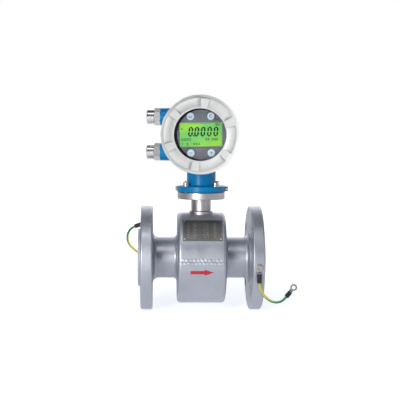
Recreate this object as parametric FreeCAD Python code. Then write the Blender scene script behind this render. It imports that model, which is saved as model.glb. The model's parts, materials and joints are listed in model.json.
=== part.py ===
import FreeCAD, Part

# Electromagnetic flow meter: a lined, flanged measuring tube in a coil housing, with a neck that
# carries a two-compartment converter, its screw covers, cable glands, display and bonding leads.
# Millimetres.  The origin is the meter's centre on the flow axis, +X is the flow direction, +Z up.
# The converter is drawn in its own frame (x, depth, z), where depth runs from its front to its
# back, and is then turned about Z by converter_turn.

import math
import os

# ---- driving dimensions: measuring tube and flanges ----
flange_span = 214.0          # over the two flange faces
flange_diameter = 185.0
flange_thickness = 21.0
flange_edge_round = 3.0
weld_toe = 1.2
weld_round = 6.5
bolt_circle = 145.0
bolt_hole = 18.0
bolt_count = 4
raised_face_diameter = 106.0
raised_face_height = 2.0
tube_diameter = 73.0
tube_wall = 3.0
liner_thickness = 2.5
liner_flare_diameter = 102.0
liner_flare_thickness = 3.0

# ---- coil housing and neck ----
housing_diameter = 162.0
housing_length = 85.0
housing_wall = 3.0
housing_edge_round = 6.0
housing_weld_round = 3.5
neck_tube_diameter = 35.0
neck_tube_wall = 2.5
neck_weld_width = 3.2
neck_weld_height = 4.0
neck_flange_diameter = 84.0
neck_flange_thickness = 12.0
neck_flange_top = 118.0
neck_gasket_thickness = 0.6

# ---- coils and electrodes ----
pole_half_length = 11.0
pole_half_angle = 17.0
coil_border = 13.0
coil_half_angle = 46.0
coil_thickness = 9.0
coil_gap = 1.0
yoke_radius = 53.0
yoke_thickness = 2.5
electrode_head_radius = 4.0
electrode_stem_radius = 2.0
electrode_recess = 0.3
electrode_length = 14.0
insulator_radius = 8.0
insulator_thickness = 3.0
electrode_nut_flats = 8.0
electrode_nut_height = 3.0

# ---- converter housing ----
converter_turn = 4.3         # degrees, front turned towards the inlet
head_height = 220.0          # converter axis above the flow axis
barrel_radius = 63.0
barrel_half_length = 44.0
barrel_wall = 8.0
spigot_step = 3.0            # from the barrel down to the spigot
spigot_length = 14.0
partition_depth = 2.0        # front face of the wall between the compartments
partition_thickness = 4.0
compartment_round = 1.0        # stays short of the gland bores
converter_flange_diameter = 86.5
converter_flange_thickness = 10.4
converter_neck_diameter = 51.5
converter_neck_wall = 6.0
converter_neck_round = 3.0
cable_hole_radius = 5.0
cable_hole_depth = -10.0
neck_screw_pitch = 52.0      # side of the square of four screws
neck_screw_size = 6.0
neck_screw_length = 22.0
cap_head_share = 0.83        # of a socket screw's size, for the radius of its head
cap_socket_share = 0.83      # and for the flats of its socket
neck_washer_radius = 6.0
neck_washer_thickness = 1.2
side_screw_size = 5.0
side_screw_depth = 7.0
earth_head_radius = 4.2
earth_head_height = 4.8
earth_socket = 4.0
lock_head_radius = 3.6
lock_head_height = 2.6
lock_socket = 3.0

# ---- screw covers ----
cover_overhang = 5.0         # of a cover past the barrel
cover_shoulder_drop = 5.5    # from a cover's side down to its face
front_cover_front = -82.0
rear_cover_back = 76.0
cover_shoulder = 6.5         # from the cover's face to its shoulder
cover_gap = 0.5              # from the skirt to the barrel's shoulder
thread_clearance = 0.3
cover_cavity_step = 3.0      # from the spigot down to the cavity
window_border = 18.0         # from the rim of a cover's face to its window
window_lip = 3.0
glass_overlap = 6.5          # of the glass behind the window's edge
glass_thickness = 6.0
retainer_thickness = 2.5
rear_cover_wall = 5.0
rear_hollow_step = 4.0
scallop_count = 6
scallop_angle = 46.0
land_angle = 22.0            # first raised land, seen from the front, from +X towards +Z
scallop_section_radius = 16.0
scallop_depth = 2.8
scallop_inset = 7.0          # of the hollows' middle from the face's rim
o_ring_section = 2.4
o_ring_gap = 0.35

# ---- display ----
display_offset = 0.9
display_roll = 1.2           # degrees, seen from the front towards the inlet
display_plate_radius = 46.0
display_plate_thickness = 1.5
display_plate_front = -66.0
screen_width = 72.5
screen_height = 40.5
screen_recess = 0.5
screen_fit = 0.2
lcd_border = 3.0
lcd_thickness = 5.5
key_radius = 6.0
key_clearance = 0.35
key_spacing_x = 35.0
key_spacing_z = 62.6
key_stand = 0.8
key_travel = 0.8
key_rim = 1.0
key_rim_thickness = 1.2
key_stem_radius = 2.0
key_stem_length = 2.0
display_board_thickness = 1.6
module_gap = 12.0            # round the electronics module
module_foot = 6.0            # width and thickness of its foot
standoff_radius = 2.5
standoff_spread = 56.0
module_front = -50.0

# ---- terminal compartment ----
terminal_width = 68.0
terminal_height = 26.0
terminal_depth = 16.0
terminal_count = 7
terminal_pitch = 9.0
terminal_screw_radius = 2.6
terminal_slot = 5.0

# ---- cable glands ----
gland_offset = 31.5          # above and below the converter axis
gland_depth = 18.0
boss_radius = 15.7
boss_stand = 12.0            # of a gland boss past the barrel
boss_root = 20.0             # of a gland boss from the converter axis
gland_thread_radius = 10.0
gland_thread_length = 12.0
gland_hex_flats = 27.0
gland_hex_length = 10.5
gland_dome_radius = 11.4
gland_dome_length = 9.5
gland_bore_radius = 7.0
gland_seat_depth = 2.5       # of the seal's seat above the hexagon
gland_hex_chamfer = 0.9
gland_cap_radius = 13.0
gland_cap_length = 13.3
gland_cap_round = 2.0
gland_cap_wall = 3.0
gland_cap_gap = 0.4
seal_radius = 9.4
seal_bore_radius = 6.0
seal_gap = 0.35

# ---- nameplate ----
nameplate_thickness = 0.8
nameplate_low_angle = 27.6
nameplate_high_angle = 59.8
nameplate_left = -34.0
nameplate_right = 35.0
rivet_radius = 1.6
rivet_height = 1.0
rivet_inset = 3.2

# ---- bonding leads ----
bond_screw_size = 6.0
bond_screw_depth = 12.0
bond_head_radius = 5.0
bond_head_height = 4.0
bond_washer_radius = 6.0
bond_washer_thickness = 1.2
lug_radius = 6.0
lug_hole_radius = 3.2
lug_thickness = 1.0
lug_barrel_radius = 3.0
lug_barrel_start = 8.5
lug_barrel_height = 4.4
sleeve_radius = 4.0
lug_cover = 4.0              # of a sleeve, past the end of its barrel
inner_sleeve_length = 15.5
outer_sleeve_length = 10.5
lead_diameter = 4.3
outlet_bond_angle = -3.1     # above the horizontal, on the front of the outlet flange's rim
inlet_bond_angle = 35.3      # above the horizontal, on the back of the inlet flange's rim
inlet_lug_slant = 24.8       # from the inlet direction down the rim

# The free parts of the two leads, chosen points between the straight ends that the sleeves give.
outlet_lead_points = [
    (96.7, -95.0, -37.0),
    (99.0, -94.8, -44.4),
    (103.5, -94.7, -51.6),
    (109.9, -94.4, -58.2),
    (117.0, -93.9, -63.0),
    (124.4, -93.2, -65.1),
    (132.1, -92.3, -64.4),
    (138.9, -91.2, -60.9),
]
outlet_lead_end = (143.4, -90.0, -56.0)
outlet_lead_end_direction = (0.66, 0.12, 0.74)
inlet_lead_points = [
    (-125.0, 86.7, 44.7),
    (-130.3, 88.4, 39.8),
    (-133.9, 90.2, 32.6),
    (-135.0, 92.2, 24.2),
    (-133.5, 94.3, 15.5),
    (-128.9, 96.4, 8.0),
    (-122.4, 98.4, 1.6),
    (-114.9, 100.2, -4.6),
]
inlet_lead_end = (-107.6, 101.8, -9.8)
inlet_lead_end_direction = (0.80, 0.18, -0.57)

# ---- worked out from the dimensions above ----
half_span = flange_span / 2.0
flange_inner_face = half_span - flange_thickness
flange_radius = flange_diameter / 2.0
bond_place_x = half_span - flange_thickness / 2.0
tube_radius = tube_diameter / 2.0
tube_bore_radius = tube_radius - tube_wall
flow_bore_radius = tube_bore_radius - liner_thickness
housing_radius = housing_diameter / 2.0
neck_tube_radius = neck_tube_diameter / 2.0
neck_flange_bottom = neck_flange_top - neck_flange_thickness
neck_bore_radius = neck_tube_radius - neck_tube_wall
converter_bottom = neck_flange_top + neck_gasket_thickness
converter_flange_top = converter_bottom + converter_flange_thickness
converter_neck_radius = converter_neck_diameter / 2.0
barrel_bore_radius = barrel_radius - barrel_wall
spigot_radius = barrel_radius - spigot_step
cover_radius = barrel_radius + cover_overhang
cover_face_radius = cover_radius - cover_shoulder_drop
cover_cavity_radius = spigot_radius - cover_cavity_step
scallop_middle = cover_face_radius - scallop_inset
window_radius = cover_face_radius - window_border
glass_radius = window_radius + glass_overlap
module_radius = barrel_bore_radius - module_gap
boss_reach = barrel_radius + boss_stand
gland_seal_seat = gland_hex_length + gland_seat_depth
spigot_end = barrel_half_length + spigot_length
skirt_end = barrel_half_length + cover_gap
thread_bore_radius = spigot_radius + thread_clearance
cap_half = neck_screw_pitch / 2.0
key_back = display_plate_front + display_plate_thickness
board_front = key_back + lcd_thickness + 0.5
sleeve_start = lug_barrel_start + 2.0

ORIGIN = FreeCAD.Vector(0, 0, 0)
X_AXIS = FreeCAD.Vector(1, 0, 0)
Y_AXIS = FreeCAD.Vector(0, 1, 0)
Z_AXIS = FreeCAD.Vector(0, 0, 1)
HEAD_CENTRE = FreeCAD.Vector(0, 0, head_height)
FULL_TURN = 360.0


# ---- helpers ----
def rounded_wire(corners, to_point):
    """A closed wire through corners (a, b) or (a, b, round radius), placed in space by to_point."""
    points = [to_point(corner[0], corner[1]) for corner in corners]
    radii = [corner[2] if len(corner) > 2 else 0.0 for corner in corners]
    arcs = []
    for index, corner in enumerate(points):
        if not radii[index]:
            arcs.append((corner, None, corner))
            continue
        towards_last = (points[index - 1] - corner).normalize()
        towards_next = (points[(index + 1) % len(points)] - corner).normalize()
        half_angle = towards_last.getAngle(towards_next) / 2.0
        reach = radii[index] / math.tan(half_angle)
        middle_line = (towards_last + towards_next).normalize()
        middle_reach = radii[index] / math.sin(half_angle) - radii[index]
        arcs.append((corner + towards_last * reach, corner + middle_line * middle_reach,
                     corner + towards_next * reach))
    edges = []
    for index, (start, middle, end) in enumerate(arcs):
        if middle is not None:
            edges.append(Part.Arc(start, middle, end).toShape())
        next_start = arcs[(index + 1) % len(arcs)][0]
        if end.distanceToPoint(next_start) > 1e-6:
            edges.append(Part.makeLine(end, next_start))
    return Part.Wire(edges)


def turned(corners, to_point, centre, axis, angle=FULL_TURN):
    """A solid turned about an axis from a rounded outline."""
    return Part.Face(rounded_wire(corners, to_point)).revolve(centre, axis, angle)


def flow_turned(corners):
    """Turned about the flow axis from (x, radius) corners."""
    return turned(corners, lambda x, radius: FreeCAD.Vector(x, 0, radius), ORIGIN, X_AXIS)


def neck_turned(corners):
    """Turned about the neck axis from (radius, height) corners."""
    return turned(corners, lambda radius, height: FreeCAD.Vector(radius, 0, height), ORIGIN, Z_AXIS)


def head_turned(corners):
    """Turned about the converter axis from (depth, radius) corners."""
    return turned(corners, lambda depth, radius: FreeCAD.Vector(radius, depth, head_height),
                  HEAD_CENTRE, Y_AXIS)


def rod(radius, length, start, direction):
    return Part.makeCylinder(radius, length, start, direction)


def box_between(low, high):
    size = [high[axis] - low[axis] for axis in range(3)]
    return Part.makeBox(size[0], size[1], size[2], FreeCAD.Vector(*low))


def prism(flats, length, start, direction, first_corner):
    """A hexagonal bar; first_corner is the direction of one of its corners."""
    corner_radius = flats / math.sqrt(3.0)
    across = direction.cross(first_corner)
    points = []
    for step in range(6):
        angle = math.radians(60.0 * step)
        points.append(start + (first_corner * math.cos(angle) + across * math.sin(angle)) * corner_radius)
    points.append(points[0])
    return Part.Face(Part.makePolygon(points)).extrude(direction * length)


def ring_sector(inner, outer, half_length, half_angle, middle_angle):
    """Part of a ring about the flow axis; middle_angle is measured from +Z."""
    outline = [(-half_length, inner), (-half_length, outer), (half_length, outer), (half_length, inner)]
    sector = turned(outline, lambda x, radius: FreeCAD.Vector(x, 0, radius), ORIGIN, X_AXIS, 2 * half_angle)
    sector.rotate(ORIGIN, X_AXIS, middle_angle - half_angle)
    return sector


def turn_converter(shape):
    """Turn a piece of the converter from its own frame into the meter's."""
    shape = shape.copy()
    shape.rotate(ORIGIN, Z_AXIS, -converter_turn)
    return shape


def place_display(shape):
    """Shift and roll a piece of the display stack, then turn it with the converter."""
    shape = shape.copy()
    shape.translate(FreeCAD.Vector(display_offset, 0, 0))
    shape.rotate(HEAD_CENTRE, Y_AXIS, -display_roll)
    return turn_converter(shape)


def mirrored(shape):
    """The same piece on the inlet side."""
    return shape.mirror(ORIGIN, X_AXIS)


# ---- measuring tube ----
def make_flow_tube():
    tube = flow_turned([(-half_span - raised_face_height, tube_bore_radius),
                        (-half_span - raised_face_height, tube_radius),
                        (half_span + raised_face_height, tube_radius),
                        (half_span + raised_face_height, tube_bore_radius)])
    hole_start = FreeCAD.Vector(0, -tube_radius - 1, 0)
    electrode_holes = rod(electrode_head_radius + 1, tube_diameter + 2, hole_start, Y_AXIS)
    return tube.cut(electrode_holes)


def make_liner():
    end = half_span + raised_face_height
    liner = flow_turned([(-end, flow_bore_radius), (-end, tube_bore_radius),
                         (end, tube_bore_radius), (end, flow_bore_radius)])
    hole_start = FreeCAD.Vector(0, -tube_radius, 0)
    return liner.cut(rod(electrode_head_radius, tube_diameter, hole_start, Y_AXIS))


def make_outlet_liner_flare():
    """The liner's end, turned out over the raised face, where the pipe gasket seals."""
    back = half_span + raised_face_height
    front = back + liner_flare_thickness
    flare_radius = liner_flare_diameter / 2.0
    return flow_turned([(back, flow_bore_radius), (back, flare_radius),
                        (front, flare_radius, 1.0), (front, flow_bore_radius)])


def make_outlet_flange(bond_normal):
    raised_radius = raised_face_diameter / 2.0
    flange = flow_turned([
        (flange_inner_face, tube_radius), (flange_inner_face, flange_radius, flange_edge_round),
        (half_span, flange_radius, flange_edge_round),
        (half_span, raised_radius), (half_span + raised_face_height, raised_radius),
        (half_span + raised_face_height, tube_radius)])
    for step in range(bolt_count):
        angle = math.radians((step + 0.5) * FULL_TURN / bolt_count)
        centre = FreeCAD.Vector(flange_inner_face - 1, math.cos(angle) * bolt_circle / 2.0,
                                math.sin(angle) * bolt_circle / 2.0)
        flange = flange.cut(rod(bolt_hole / 2.0, flange_thickness + 2, centre, X_AXIS))
    tapped_start = bond_normal * (flange_radius + 1) + X_AXIS * bond_place_x
    return flange.cut(rod(bond_screw_size / 2.0, bond_screw_depth + 1, tapped_start, bond_normal * -1))


def make_outlet_flange_weld():
    """The hollow fillet weld between the tube and the back of a flange."""
    root_x = flange_inner_face - weld_toe
    root_radius = tube_radius + weld_toe
    return flow_turned([(root_x - weld_round, tube_radius), (root_x - weld_round, root_radius),
                        (root_x, root_radius, weld_round), (root_x, root_radius + weld_round),
                        (flange_inner_face, root_radius + weld_round), (flange_inner_face, tube_radius)])


def rim_normal(angle, side):
    """The outward normal of a flange's rim at an angle above the horizontal; side is -1 at the front."""
    slope = math.radians(angle)
    return FreeCAD.Vector(0, side * math.cos(slope), math.sin(slope))


def housing_weld_section(side):
    """The hollow fillet weld from the tube up to a side wall of the coil housing; side is -1 at the inlet."""
    wall = housing_length / 2.0
    root_x = wall + weld_toe
    root_radius = tube_radius + weld_toe
    end_x = root_x + housing_weld_round
    top = root_radius + housing_weld_round
    return [(side * end_x, tube_radius), (side * end_x, root_radius),
            (side * root_x, root_radius, housing_weld_round), (side * root_x, top), (side * wall, top)]


def make_coil_housing():
    half = housing_length / 2.0
    inside = half - housing_wall
    inner_radius = housing_radius - housing_wall
    inner_round = housing_edge_round - housing_wall
    left_weld = housing_weld_section(-1)
    right_weld = housing_weld_section(1)
    right_weld.reverse()
    outside = [(-half, housing_radius, housing_edge_round), (half, housing_radius, housing_edge_round)]
    hollow = [(inside, tube_radius), (inside, inner_radius, inner_round),
              (-inside, inner_radius, inner_round), (-inside, tube_radius)]
    shell = flow_turned(left_weld + outside + right_weld + hollow)
    neck_hole = rod(neck_tube_radius, housing_radius, FreeCAD.Vector(0, 0, tube_radius + 5), Z_AXIS)
    return shell.cut(neck_hole)


def make_neck_tube():
    lower_end = housing_radius - 2 * housing_wall
    tube = neck_turned([(neck_bore_radius, lower_end), (neck_tube_radius, lower_end),
                        (neck_tube_radius, neck_flange_bottom), (neck_bore_radius, neck_flange_bottom)])
    weld_top = housing_radius + neck_weld_height
    weld = neck_turned([(neck_tube_radius, lower_end),
                        (neck_tube_radius + neck_weld_width, lower_end),
                        (neck_tube_radius + neck_weld_width, weld_top - 1.0, 1.2),
                        (neck_tube_radius, weld_top)])
    housing_body = rod(housing_radius, housing_length, FreeCAD.Vector(-housing_length / 2.0, 0, 0), X_AXIS)
    return tube.fuse(weld.cut(housing_body)).removeSplitter()


def neck_screw_places():
    return [(x * cap_half, y * cap_half) for x in (-1, 1) for y in (-1, 1)]


def make_neck_flange():
    radius = neck_flange_diameter / 2.0
    plate = neck_turned([(neck_bore_radius, neck_flange_bottom), (radius, neck_flange_bottom, 1.0),
                         (radius, neck_flange_top, 1.0), (neck_bore_radius, neck_flange_top)])
    for x, y in neck_screw_places():
        start = FreeCAD.Vector(x, y, neck_flange_bottom - 1)
        plate = plate.cut(rod(neck_screw_size / 2.0, neck_flange_thickness + 2, start, Z_AXIS))
    return turn_converter(plate)


def make_neck_gasket():
    gasket = neck_turned([(neck_bore_radius + 2, neck_flange_top), (cap_half, neck_flange_top),
                          (cap_half, converter_bottom), (neck_bore_radius + 2, converter_bottom)])
    return turn_converter(gasket)


# ---- coils and electrodes ----
def make_pole_shoe(middle_angle):
    return ring_sector(tube_radius, yoke_radius, pole_half_length, pole_half_angle, middle_angle)


def make_coil(middle_angle):
    inner = tube_radius + coil_gap
    outer = inner + coil_thickness
    winding = ring_sector(inner, outer, pole_half_length + coil_border, coil_half_angle, middle_angle)
    gap_angle = math.degrees(coil_gap / inner)
    window = ring_sector(inner - 1, outer + 1, pole_half_length + coil_gap, pole_half_angle + gap_angle,
                         middle_angle)
    return winding.cut(window)


def make_yoke():
    outer = yoke_radius + yoke_thickness
    return flow_turned([(-pole_half_length, yoke_radius), (-pole_half_length, outer),
                        (pole_half_length, outer), (pole_half_length, yoke_radius)])


def electrode_point(distance, side):
    return FreeCAD.Vector(0, side * distance, 0)


def make_electrode(side):
    outward = Y_AXIS * side
    face = flow_bore_radius + electrode_recess
    start = electrode_point(face, side)
    head = rod(electrode_head_radius, liner_thickness - electrode_recess, start, outward)
    stem = rod(electrode_stem_radius, electrode_length, start, outward)
    return head.fuse(stem).removeSplitter()


def make_electrode_insulator(side):
    outward = Y_AXIS * side
    bush = rod(electrode_head_radius + 1, tube_wall + 1, electrode_point(tube_bore_radius, side), outward)
    collar = rod(insulator_radius, insulator_thickness, electrode_point(tube_radius, side), outward)
    shaped = bush.fuse(collar.cut(rod(tube_radius, 4 * insulator_radius,
                                      FreeCAD.Vector(-2 * insulator_radius, 0, 0), X_AXIS)))
    bore = rod(electrode_stem_radius, tube_radius, electrode_point(tube_bore_radius - 1, side), outward)
    return shaped.cut(bore).removeSplitter()


def make_electrode_nut(side):
    outward = Y_AXIS * side
    seat = tube_radius + insulator_thickness
    nut = prism(electrode_nut_flats, electrode_nut_height, electrode_point(seat, side), outward, Z_AXIS)
    bore_start = electrode_point(seat - 1, side)
    return nut.cut(rod(electrode_stem_radius, electrode_nut_height + 2, bore_start, outward))


# ---- converter housing ----
def gland_centre(side):
    """The middle of a gland boss's end face; side is 1 for the upper gland."""
    return FreeCAD.Vector(-boss_reach, gland_depth, head_height + side * gland_offset)


def gland_turned(corners, side):
    """Turned about a gland's axis from (distance out of the boss, radius) corners."""
    centre = gland_centre(side)
    return turned(corners, lambda along, radius: centre - X_AXIS * along + Z_AXIS * radius, centre, X_AXIS)


def make_converter_housing():
    barrel = head_turned([(-spigot_end, 0), (-spigot_end, spigot_radius, 1.0),
                          (-barrel_half_length, spigot_radius), (-barrel_half_length, barrel_radius, 1.5),
                          (barrel_half_length, barrel_radius, 1.5), (barrel_half_length, spigot_radius),
                          (spigot_end, spigot_radius, 1.0), (spigot_end, 0)])
    neck_top = head_height - barrel_bore_radius + barrel_wall / 2.0
    neck = neck_turned([(0, converter_bottom), (converter_flange_diameter / 2.0, converter_bottom, 1.0),
                        (converter_flange_diameter / 2.0, converter_flange_top, 1.5),
                        (converter_neck_radius, converter_flange_top, converter_neck_round),
                        (converter_neck_radius, neck_top), (0, neck_top)])
    body = barrel.fuse(neck)
    boss_length = boss_reach - boss_root
    for side in (1, -1):
        body = body.fuse(gland_turned([(0, 0), (0, boss_radius, 1.2),
                                       (-boss_length, boss_radius), (-boss_length, 0)], side))
    front_end = partition_depth
    rear_start = partition_depth + partition_thickness
    body = body.cut(head_turned([(-spigot_end - 1, 0), (-spigot_end - 1, barrel_bore_radius),
                                 (front_end, barrel_bore_radius, compartment_round), (front_end, 0)]))
    body = body.cut(head_turned([(rear_start, 0), (rear_start, barrel_bore_radius, compartment_round),
                                 (spigot_end + 1, barrel_bore_radius), (spigot_end + 1, 0)]))
    neck_bore = converter_neck_radius - converter_neck_wall
    floor = head_height - barrel_radius
    neck_start = FreeCAD.Vector(0, 0, converter_bottom - 1)
    body = body.cut(rod(neck_bore, floor - converter_bottom + 1, neck_start, Z_AXIS))
    cable_start = FreeCAD.Vector(0, cable_hole_depth, floor - 2)
    body = body.cut(rod(cable_hole_radius, 2 * barrel_wall, cable_start, Z_AXIS))
    for side in (1, -1):
        start = gland_centre(side) - X_AXIS
        body = body.cut(rod(gland_thread_radius, boss_length, start, X_AXIS))
    for x, y in neck_screw_places():
        start = FreeCAD.Vector(x, y, converter_bottom - 1)
        hole = rod(neck_screw_size / 2.0 + 0.3, converter_flange_thickness + 2, start, Z_AXIS)
        body = body.cut(hole)
    for side in (1, -1):
        start = side_screw_start(side) + X_AXIS * side
        body = body.cut(rod(side_screw_size / 2.0, side_screw_depth + 1, start, X_AXIS * -side))
    return turn_converter(body.removeSplitter())


def side_screw_start(side):
    """Where a side screw meets the rim of the converter's flange."""
    middle = converter_bottom + converter_flange_thickness / 2.0
    return FreeCAD.Vector(side * converter_flange_diameter / 2.0, 0, middle)


def cap_screw(start, direction, corner, size, length, head_radius, cap_height, socket):
    """A socket-head screw whose head sits on start and points along direction."""
    shank = rod(size / 2.0, length, start - direction * length, direction)
    head = rod(head_radius, cap_height, start, direction)
    top = start + direction * cap_height
    rim = [edge for edge in head.Edges if edge.Closed and edge.BoundBox.Center.distanceToPoint(top) < 0.1]
    head = head.makeChamfer(0.5, rim)
    recess_start = start + direction * (cap_height / 2.0)
    recess = prism(socket, cap_height / 2.0 + 0.1, recess_start, direction, corner)
    return shank.fuse(head).cut(recess).removeSplitter()


def make_neck_screws():
    screws = []
    seat = converter_flange_top + neck_washer_thickness
    head_radius = neck_screw_size * cap_head_share
    socket = neck_screw_size * cap_socket_share
    for x, y in neck_screw_places():
        start = FreeCAD.Vector(x, y, seat)
        screws.append(cap_screw(start, Z_AXIS, X_AXIS, neck_screw_size, neck_screw_length,
                                head_radius, neck_screw_size, socket))
    return turn_converter(Part.makeCompound(screws))


def make_neck_washers():
    washers = []
    for x, y in neck_screw_places():
        start = FreeCAD.Vector(x, y, converter_flange_top)
        disc = rod(neck_washer_radius, neck_washer_thickness, start, Z_AXIS)
        washers.append(disc.cut(rod(neck_screw_size / 2.0, neck_washer_thickness, start, Z_AXIS)))
    return turn_converter(Part.makeCompound(washers))


def make_side_screw(side, head_radius, head_length, socket):
    screw = cap_screw(side_screw_start(side), X_AXIS * side, Z_AXIS, side_screw_size, side_screw_depth,
                      head_radius, head_length, socket)
    return turn_converter(screw)


# ---- screw covers ----
def cover_scallops(face_depth, inward):
    """The finger hollows round a cover's face; inward is 1 where the face looks to the front."""
    centre_depth = face_depth + inward * (scallop_depth - scallop_section_radius)
    section_centre = FreeCAD.Vector(scallop_middle, centre_depth, head_height)
    section = Part.Face(Part.Wire(Part.makeCircle(scallop_section_radius, section_centre, Z_AXIS)))
    hollow = section.revolve(HEAD_CENTRE, Y_AXIS * -1, scallop_angle)
    pitch = FULL_TURN / scallop_count
    hollows = []
    for step in range(scallop_count):
        copy = hollow.copy()
        copy.rotate(HEAD_CENTRE, Y_AXIS * -1, land_angle + (pitch - scallop_angle) / 2.0 + step * pitch)
        hollows.append(copy)
    return hollows


def make_front_cover():
    glass_front = front_cover_front + window_lip
    glass_back = glass_front + glass_thickness
    seat_radius = o_ring_radius() + o_ring_section / 2.0 + o_ring_gap
    seat_depth = -skirt_end - o_ring_section - o_ring_gap
    shoulder = front_cover_front + cover_shoulder
    cover = head_turned([
        (front_cover_front, window_radius, 0.8), (front_cover_front, cover_face_radius, 2.0),
        (shoulder, cover_face_radius, 1.0), (shoulder + 2.0, cover_radius, 2.0),
        (-skirt_end, cover_radius, 1.0), (-skirt_end, seat_radius), (seat_depth, seat_radius),
        (seat_depth, thread_bore_radius), (-spigot_end - 2, thread_bore_radius),
        (-spigot_end - 2, cover_cavity_radius), (glass_back, cover_cavity_radius),
        (glass_back, glass_radius), (glass_front, glass_radius), (glass_front, window_radius)])
    for hollow in cover_scallops(front_cover_front, 1):
        cover = cover.cut(hollow)
    return turn_converter(cover)


def make_rear_cover():
    seat_radius = o_ring_radius() + o_ring_section / 2.0 + o_ring_gap
    seat_depth = skirt_end + o_ring_section + o_ring_gap
    shoulder = rear_cover_back - cover_shoulder
    inner_back = rear_cover_back - rear_cover_wall
    hollow_radius = cover_cavity_radius - rear_hollow_step
    cover = head_turned([
        (rear_cover_back, 0), (rear_cover_back, cover_face_radius, 2.0),
        (shoulder, cover_face_radius, 1.0), (shoulder - 2.0, cover_radius, 2.0),
        (skirt_end, cover_radius, 1.0), (skirt_end, seat_radius), (seat_depth, seat_radius),
        (seat_depth, thread_bore_radius), (spigot_end + 2, thread_bore_radius),
        (spigot_end + 2, hollow_radius), (inner_back, hollow_radius, 3.0), (inner_back, 0)])
    for hollow in cover_scallops(rear_cover_back, -1):
        cover = cover.cut(hollow)
    return turn_converter(cover)


def o_ring_radius():
    return spigot_radius + o_ring_gap + o_ring_section / 2.0


def make_o_ring(side):
    depth = side * (barrel_half_length + o_ring_gap + o_ring_section / 2.0)
    centre = FreeCAD.Vector(0, depth, head_height)
    return turn_converter(Part.makeTorus(o_ring_radius(), o_ring_section / 2.0, centre, Y_AXIS))


def make_window_glass():
    glass_front = front_cover_front + window_lip
    glass_back = glass_front + glass_thickness
    glass = head_turned([(glass_front, 0), (glass_front, glass_radius),
                         (glass_back, glass_radius), (glass_back, 0)])
    return turn_converter(glass)


def make_window_retainer():
    start = front_cover_front + window_lip + glass_thickness
    ring = head_turned([(start, window_radius + 1), (start, cover_cavity_radius),
                        (start + retainer_thickness, cover_cavity_radius),
                        (start + retainer_thickness, window_radius + 1, 1.0)])
    return turn_converter(ring)


# ---- display and electronics ----
def key_places():
    """Key names with their places on the display plate."""
    half_x = key_spacing_x / 2.0
    half_z = key_spacing_z / 2.0
    return {
        "key_upper_left": (-half_x, half_z),
        "key_upper_right": (half_x, half_z),
        "key_lower_left": (-half_x, -half_z),
        "key_lower_right": (half_x, -half_z),
    }


def on_head(x, depth, z):
    return FreeCAD.Vector(x, depth, head_height + z)


def head_box(half_width, half_height, front, back):
    return box_between((-half_width, front, head_height - half_height),
                       (half_width, back, head_height + half_height))


def make_display_plate():
    plate = rod(display_plate_radius, display_plate_thickness, on_head(0, display_plate_front, 0), Y_AXIS)
    window = head_box(screen_width / 2.0, screen_height / 2.0, display_plate_front - 1, key_back + 1)
    plate = plate.cut(window)
    for x, z in key_places().values():
        start = on_head(x, display_plate_front - 1, z)
        plate = plate.cut(rod(key_radius + key_clearance, display_plate_thickness + 2, start, Y_AXIS))
    return place_display(plate)


def make_lcd_module():
    glass = head_box(screen_width / 2.0 - screen_fit, screen_height / 2.0 - screen_fit,
                     display_plate_front + screen_recess, key_back + 1)
    frame = head_box(screen_width / 2.0 + lcd_border, screen_height / 2.0 + lcd_border,
                     key_back, key_back + lcd_thickness)
    return place_display(glass.fuse(frame).removeSplitter())


def make_key(x, z):
    cap = rod(key_radius, key_stand + display_plate_thickness + key_rim_thickness,
              on_head(x, display_plate_front - key_stand, z), Y_AXIS)
    rim_start = key_back + key_clearance
    rim = rod(key_radius + key_rim, key_rim_thickness, on_head(x, rim_start, z), Y_AXIS)
    stem = rod(key_stem_radius, key_stem_length + key_rim_thickness, on_head(x, rim_start, z), Y_AXIS)
    return place_display(cap.fuse([rim, stem]).removeSplitter())


def standoff_places():
    half = standoff_spread / 2.0
    return [(half, 0), (-half, 0), (0, half), (0, -half)]


def make_display_board():
    board = rod(display_plate_radius - 1, display_board_thickness, on_head(0, board_front, 0), Y_AXIS)
    switches = []
    switch_top = key_back + key_clearance + key_rim_thickness + key_stem_length + key_travel + key_clearance
    for x, z in key_places().values():
        switches.append(rod(key_radius - 2, board_front - switch_top, on_head(x, switch_top, z), Y_AXIS))
    return place_display(board.fuse(switches).removeSplitter())


def make_standoffs():
    start = board_front + display_board_thickness
    posts = [rod(standoff_radius, module_front - start, on_head(x, start, z), Y_AXIS)
             for x, z in standoff_places()]
    return place_display(Part.makeCompound(posts))


def make_electronics_module():
    foot_start = partition_depth - module_foot
    case = head_turned([(module_front, 0), (module_front, module_radius, 3.0),
                        (foot_start, module_radius), (foot_start, module_radius + module_foot),
                        (partition_depth, module_radius + module_foot), (partition_depth, 0)])
    return turn_converter(case)


def make_signal_cable():
    top = head_height - module_radius
    start = neck_flange_bottom - 20
    cable = rod(cable_hole_radius - 1.5, top - start, FreeCAD.Vector(0, cable_hole_depth, start), Z_AXIS)
    return turn_converter(cable)


def terminal_places():
    middle = (terminal_count - 1) / 2.0
    return [(step - middle) * terminal_pitch for step in range(terminal_count)]


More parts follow.
